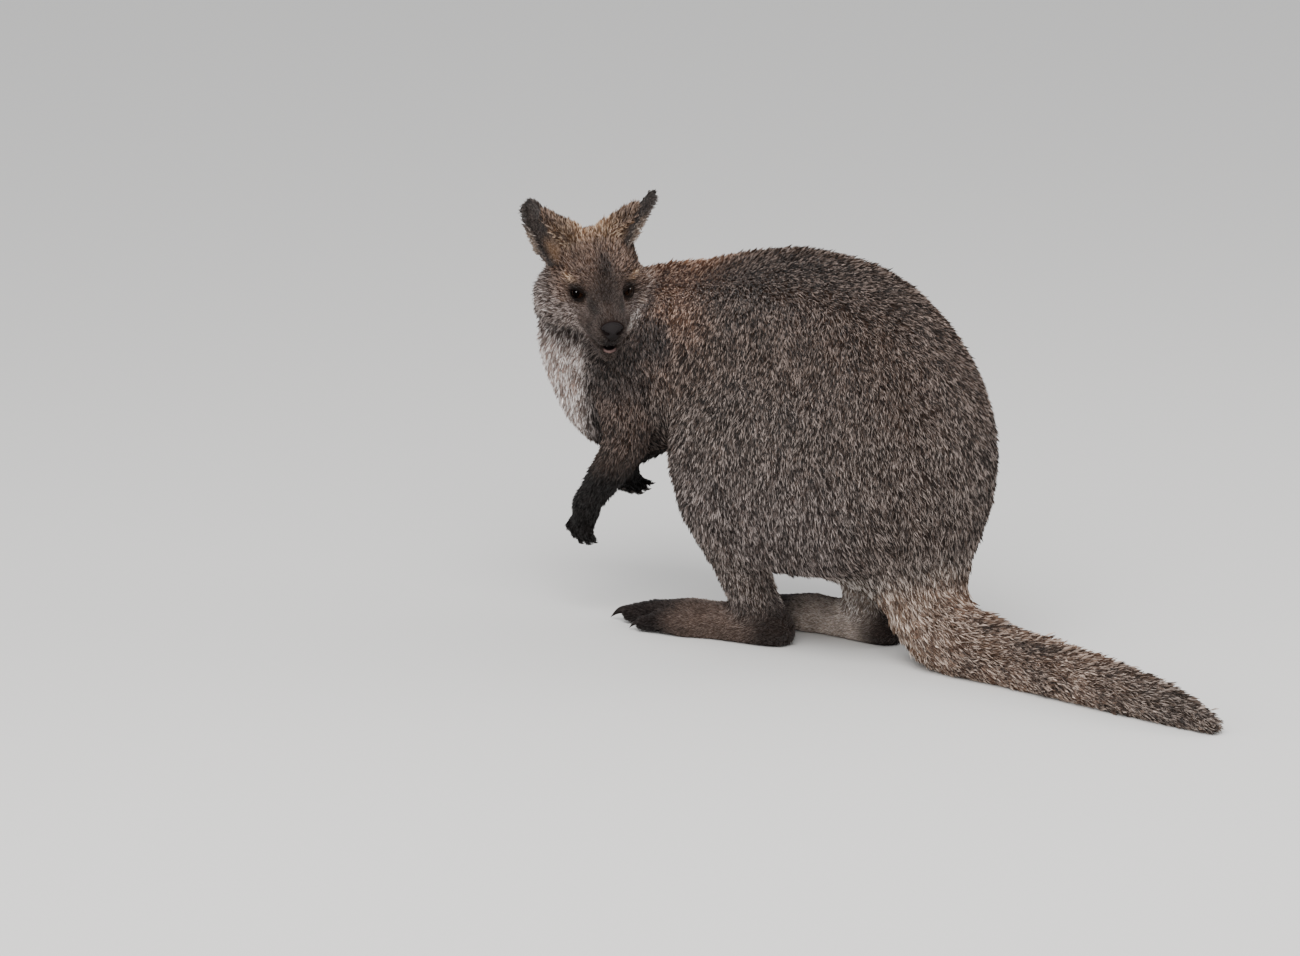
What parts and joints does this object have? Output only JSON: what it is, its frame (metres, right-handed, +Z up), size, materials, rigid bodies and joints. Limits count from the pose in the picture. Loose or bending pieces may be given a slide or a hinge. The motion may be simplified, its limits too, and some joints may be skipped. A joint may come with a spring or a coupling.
{
  "type": "wallaby",
  "caption": "Life-size still wallaby, crouched on its hind feet and tail with its forelegs hanging and its head turned back over its left shoulder.",
  "frame": {"origin": "middle of the model's footprint, on the floor it stands on", "axes": "+X towards the animal's left side, +Y towards its tail, +Z up"},
  "size_m": [0.257, 0.896, 0.4927],
  "materials": {
    "fur_back": "thick grizzled grey-brown coat",
    "fur_grey": "grizzled grey coat",
    "fur_rufous": "reddish-brown coat",
    "fur_throat": "pale grey coat",
    "fur_face": "short grey-brown coat",
    "fur_dark": "short dark coat over tough skin",
    "fur_tail": "grizzled brown coat",
    "ear": "thin skin with short hair",
    "eye": "wet and glossy, near black",
    "nose": "bare damp black skin",
    "claw": "dark horn"
  },
  "bodies": {
    "root": {"belly": "fur_back", "chest": "fur_grey", "ear_left": "ear", "ear_right": "ear", "eye_left": "eye", "eye_right": "eye", "foot_claw_fifth_left": "claw", "foot_claw_fifth_right": "claw", "foot_claw_fourth_left": "claw", "foot_claw_fourth_right": "claw", "foot_claw_second_left": "claw", "foot_claw_second_right": "claw", "foot_claw_third_left": "claw", "foot_claw_third_right": "claw", "foot_left": "fur_dark", "foot_right": "fur_dark", "forearm_left": "fur_rufous", "forearm_right": "fur_rufous", "hand_claw_1_left": "claw", "hand_claw_1_right": "claw", "hand_claw_2_left": "claw", "hand_claw_2_right": "claw", "hand_claw_3_left": "claw", "hand_claw_3_right": "claw", "hand_claw_4_left": "claw", "hand_claw_4_right": "claw", "hand_claw_5_left": "claw", "hand_claw_5_right": "claw", "hand_left": "fur_dark", "hand_right": "fur_dark", "haunch_left": "fur_back", "haunch_right": "fur_back", "head": "fur_face", "jaw": "fur_throat", "muzzle": "fur_face", "neck": "fur_rufous", "nose": "nose", "rump": "fur_back", "shank_left": "fur_grey", "shank_right": "fur_grey", "tail_1": "fur_tail", "tail_2": "fur_tail", "tail_3": "fur_tail", "tail_4": "fur_tail", "upper_arm_left": "fur_grey", "upper_arm_right": "fur_grey"}
  },
  "joints": []
}
